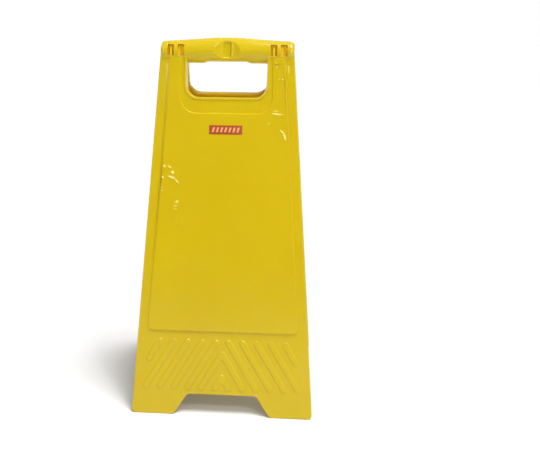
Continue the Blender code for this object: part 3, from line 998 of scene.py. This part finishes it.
def yellow_plastic():
    """Glossy moulded plastic: drifting colour, faint grain, sink waves and scuffs, with a painted glow
    on shaded inner walls and painted highlights along the creases.
    """
    made, tree, shader = new_material("glossy_yellow")
    where = node(tree, "ShaderNodeTexCoord").outputs["Object"]
    drift = spread(tree, noise(tree, where, scale=7.0, detail=3.0), low=0, high=1)
    colour = mixed(tree, drift, DEEP_YELLOW, PALE_YELLOW)
    # painted light: a lighter, warmer colour on shaded inner walls, standing in for light soaking
    # through
    painted_glow = node(tree, "ShaderNodeAttribute", attribute_name="painted_glow").outputs["Fac"]
    colour = mixed(tree, painted_glow, colour, PAINTED_GLOW_YELLOW)
    wear = node(tree, "ShaderNodeAttribute", attribute_name="wear").outputs["Fac"]
    blotches = noise(tree, where, scale=160.0, detail=4.0, rough=0.7)
    patches = spread(tree, blotches, low=0, high=1, start=0.5, end=0.62)
    scuffed = node(tree, "ShaderNodeMath", {0: wear, 1: patches}, operation="MULTIPLY").outputs[0]
    colour = mixed(tree, scuffed, colour, SCUFFED_YELLOW)
    # painted highlight: a pale colour along the creases' upper sides, broken up by noise, standing in
    # for glints
    painted_glint = node(tree, "ShaderNodeAttribute", attribute_name="painted_glint").outputs["Fac"]
    glint_breakup = spread(tree, noise(tree, where, scale=700.0), low=0.55, high=1.1)
    glint = node(tree, "ShaderNodeMath", {0: painted_glint, 1: glint_breakup}, operation="MULTIPLY", use_clamp=True)
    colour = mixed(tree, glint.outputs[0], colour, PAINTED_GLINT_YELLOW)
    tree.links.new(colour, shader.inputs["Base Color"])
    smears = spread(tree, noise(tree, where, scale=22.0, detail=4.0, rough=0.6), low=0.13, high=0.21)
    dulled = {0: scuffed, 1: SCUFF_ROUGHNESS, 2: smears}
    rough = node(tree, "ShaderNodeMath", dulled, operation="MULTIPLY_ADD")
    tree.links.new(rough.outputs[0], shader.inputs["Roughness"])
    sinks = noise(tree, where, scale=26.0, detail=1.0)
    waves = node(tree, "ShaderNodeBump", {"Strength": 1.0, "Distance": SINK_DEPTH, "Height": sinks})
    speckle = noise(tree, where, scale=900.0)
    grain = node(tree, "ShaderNodeBump", {"Strength": 1.0, "Distance": GRAIN_DEPTH, "Height": speckle})
    tree.links.new(waves.outputs[0], grain.inputs["Normal"])
    tree.links.new(grain.outputs[0], shader.inputs["Normal"])
    shader.inputs["IOR"].default_value = 1.49
    shader.inputs["Specular IOR Level"].default_value = 0.42
    shader.inputs["Subsurface Weight"].default_value = 0.45
    shader.inputs["Subsurface Radius"].default_value = (1.0, 0.55, 0.08)
    shader.inputs["Subsurface Scale"].default_value = 0.006
    return made


def red_vinyl():
    """The label's film, slightly uneven over its glue."""
    made, tree, shader = new_material("red_vinyl")
    where = node(tree, "ShaderNodeTexCoord").outputs["Object"]
    drift = spread(tree, noise(tree, where, scale=60.0, detail=3.0), low=0, high=1)
    colour = mixed(tree, drift, DEEP_RED, PALE_RED)
    tree.links.new(colour, shader.inputs["Base Color"])
    rough = spread(tree, noise(tree, where, scale=90.0), low=0.28, high=0.42)
    tree.links.new(rough, shader.inputs["Roughness"])
    unevenness = noise(tree, where, scale=180.0)
    ripple = node(tree, "ShaderNodeBump", {"Distance": VINYL_RIPPLE, "Height": unevenness})
    tree.links.new(ripple.outputs[0], shader.inputs["Normal"])
    return made


def pale_ink():
    """The dashes' print, worn in places."""
    made, tree, shader = new_material("pale_ink")
    where = node(tree, "ShaderNodeTexCoord").outputs["Object"]
    worn = spread(tree, noise(tree, where, scale=500.0, detail=3.0), low=0, high=1)
    colour = mixed(tree, worn, DEEP_INK, PALE_INK)
    tree.links.new(colour, shader.inputs["Base Color"])
    tree.links.new(spread(tree, worn, low=0.4, high=0.5), shader.inputs["Roughness"])
    return made


def pin_steel():
    """Steel with fine lines along the pins, as drawing leaves them."""
    made, tree, shader = new_material("drawn_steel")
    where = node(tree, "ShaderNodeTexCoord").outputs["Object"]
    stretched = node(tree, "ShaderNodeMapping", {"Vector": where, "Scale": (40, 1500, 1500)}).outputs[0]
    lines = noise(tree, stretched, scale=1.0, detail=3.0)
    colour = mixed(tree, lines, DARK_STEEL, BRIGHT_STEEL)
    tree.links.new(colour, shader.inputs["Base Color"])
    tree.links.new(spread(tree, lines, low=0.25, high=0.45), shader.inputs["Roughness"])
    shader.inputs["Metallic"].default_value = 1
    return made


# Pieces

def place(name, mesh, body, slot, *nodes):
    """Place a piece made in the hinge's frame: leaned, turned round for the rear, riding on its body."""
    mesh = mesh.copy()
    lean = Matrix.Rotation(-LEAN, 4, "X")
    turn = Matrix.Rotation(math.pi if body == "rear" else 0, 4, "Z")
    mesh.transform(Matrix.Translation(HINGE_POINT) @ turn @ lean)
    piece = bpy.data.objects.new(name, mesh)
    bpy.context.scene.collection.objects.link(piece)
    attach(piece, body)
    if nodes:
        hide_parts(*nodes)


def place_panels():
    """Place the one moulding, sticker and print on each body."""
    moulding = joined([moulding_mesh(), *knuckle_meshes()])
    moulding.materials.append(yellow_plastic())
    label = label_mesh()
    label.materials.append(red_vinyl())
    ink = print_mesh()
    ink.materials.append(pale_ink())
    for body in ("front", "rear"):
        place(body + "_moulding", moulding, body, "yellow_plastic", body + "_panel")
        place(body + "_sticker", label, body, "red_label", body + "_label")
        place(body + "_sticker_print", ink, body, "red_label")


def dress_pins():
    """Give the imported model's own pins a drawn steel finish."""
    steel = pin_steel()
    for name, pin in frame["nodes"].items():
        if name.startswith("hinge_pin"):
            pin.data.materials.clear()
            pin.data.materials.append(steel)


# Stage

def stage():
    """The plain pale floor."""
    floor = bpy.data.meshes.new("floor")
    corners = [(x * FLOOR_HALF, y * FLOOR_HALF, 0) for x, y in ((-1, -1), (1, -1), (1, 1), (-1, 1))]
    floor.from_pydata(corners, [], [(0, 1, 2, 3)])
    floor_object = bpy.data.objects.new("floor", floor)
    bpy.context.scene.collection.objects.link(floor_object)
    made, _, shader = new_material("pale_floor")
    shader.inputs["Base Color"].default_value = (*[FLOOR_GREY] * 3, 1)
    shader.inputs["Roughness"].default_value = 0.9
    shader.inputs["Specular IOR Level"].default_value = 0
    floor.materials.append(made)


def studio_light():
    """A dim room lit mostly from above, a broad soft key over the sign, and three small softboxes."""
    world = bpy.data.worlds.new("studio")
    bpy.context.scene.world = world
    world.use_nodes = True
    tree = world.node_tree
    where = node(tree, "ShaderNodeTexCoord").outputs["Generated"]
    up = node(tree, "ShaderNodeSeparateXYZ", {0: where}).outputs["Z"]
    level = spread(tree, up, low=0, high=1, start=0.0, end=0.9)
    colour = mixed(tree, level, (*[HORIZON] * 3, 1), (*[ZENITH] * 3, 1))
    tree.links.new(colour, tree.nodes["Background"].inputs["Color"])
    key = bpy.data.lights.new("key", "SUN")
    key.energy = KEY
    key.angle = math.radians(KEY_SPREAD)
    light = bpy.data.objects.new("key", key)
    bpy.context.scene.collection.objects.link(light)
    light.rotation_euler = (-Vector(KEY_FROM)).to_track_quat("-Z", "Y").to_euler()
    softbox("side_lamp", LAMP_PLACE, LAMP_AIM, LAMP_SIZE, LAMP_WATTS)
    for spot in STRIP_PLACES:
        softbox("strip_lamp", spot, STRIP_AIM, STRIP_SIZE, STRIP_WATTS)


def softbox(name, spot, aim, size, watts):
    data = bpy.data.lights.new(name, "AREA")
    data.shape = "RECTANGLE"
    data.size, data.size_y = size
    data.energy = watts
    light = bpy.data.objects.new(name, data)
    bpy.context.scene.collection.objects.link(light)
    light.location = spot
    light.rotation_euler = (Vector(aim) - Vector(spot)).to_track_quat("-Z", "Y").to_euler()


def camera():
    data = bpy.data.cameras.new("camera")
    data.lens = CAMERA_LENS
    data.shift_x = CAMERA_SHIFT
    view = bpy.data.objects.new("camera", data)
    bpy.context.scene.collection.objects.link(view)
    level = math.cos(CAMERA_DIP)
    across = math.sin(CAMERA_AZIMUTH)
    towards = -math.cos(CAMERA_AZIMUTH)
    back = Vector((across * level, towards * level, math.sin(CAMERA_DIP)))
    view.location = Vector(CAMERA_AIM) + back * CAMERA_DISTANCE
    view.rotation_euler = (-back).to_track_quat("-Z", "Y").to_euler()
    bpy.context.scene.camera = view


def main():
    camera()
    stage()
    studio_light()
    bpy.context.scene.view_settings.view_transform = "Standard"
    place_panels()
    dress_pins()


main()
